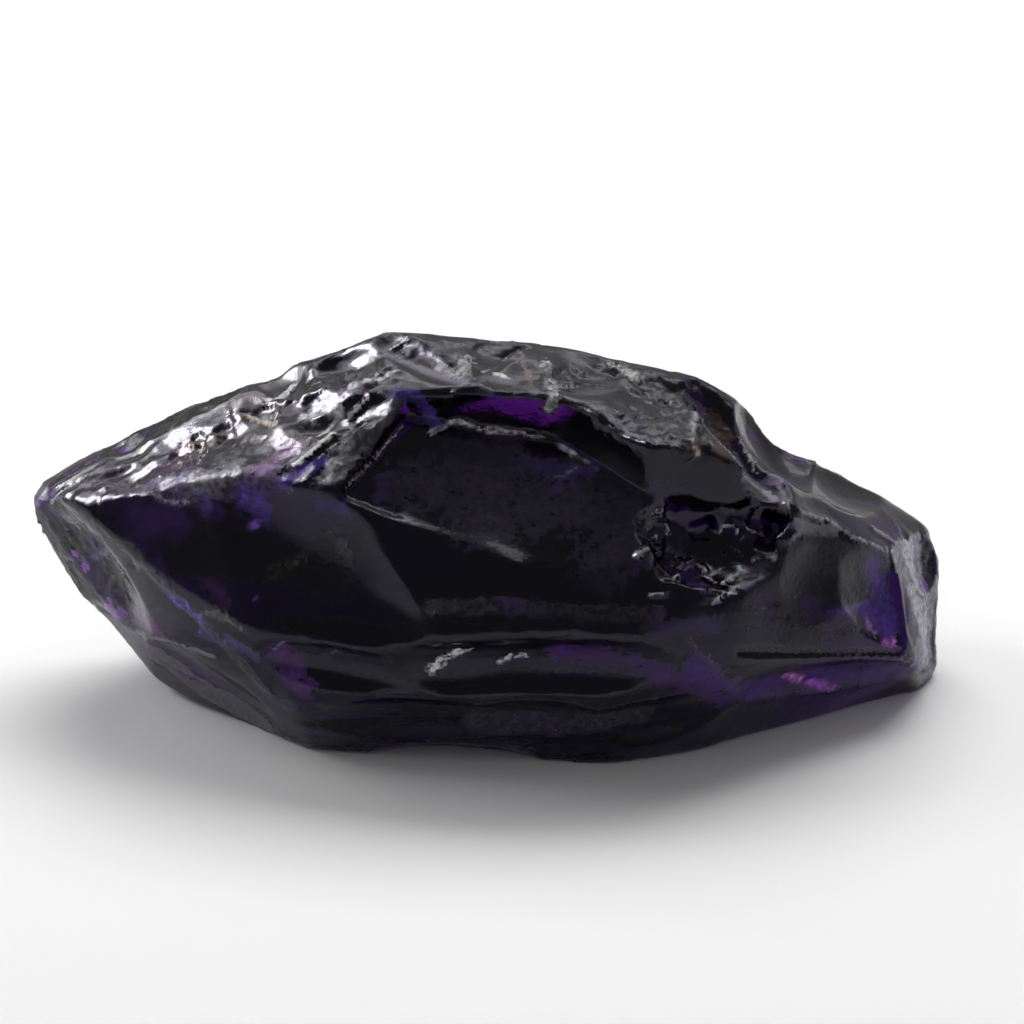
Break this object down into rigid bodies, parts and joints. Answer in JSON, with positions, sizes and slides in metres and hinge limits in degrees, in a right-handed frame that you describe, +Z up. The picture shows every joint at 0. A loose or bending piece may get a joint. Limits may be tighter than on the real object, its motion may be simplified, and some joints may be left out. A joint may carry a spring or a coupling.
{
  "type": "rough sapphire",
  "caption": "Rough violet gemstone crystal, a long broken glassy lump with curved fracture faces, a ledged front and a flat foot.",
  "frame": {"origin": "middle of the bounding box at the level of the foot", "axes": "+X along the stone towards its blunt frosted end, -Y out of the ledged front, +Z up"},
  "size_m": [0.0616, 0.0266, 0.0252],
  "materials": {
    "violet_stone": "broken glassy faces, near black in the thick parts and violet where thin, with frosted ridges"
  },
  "bodies": {
    "root": {"rough_sapphire": "violet_stone"}
  },
  "joints": []
}
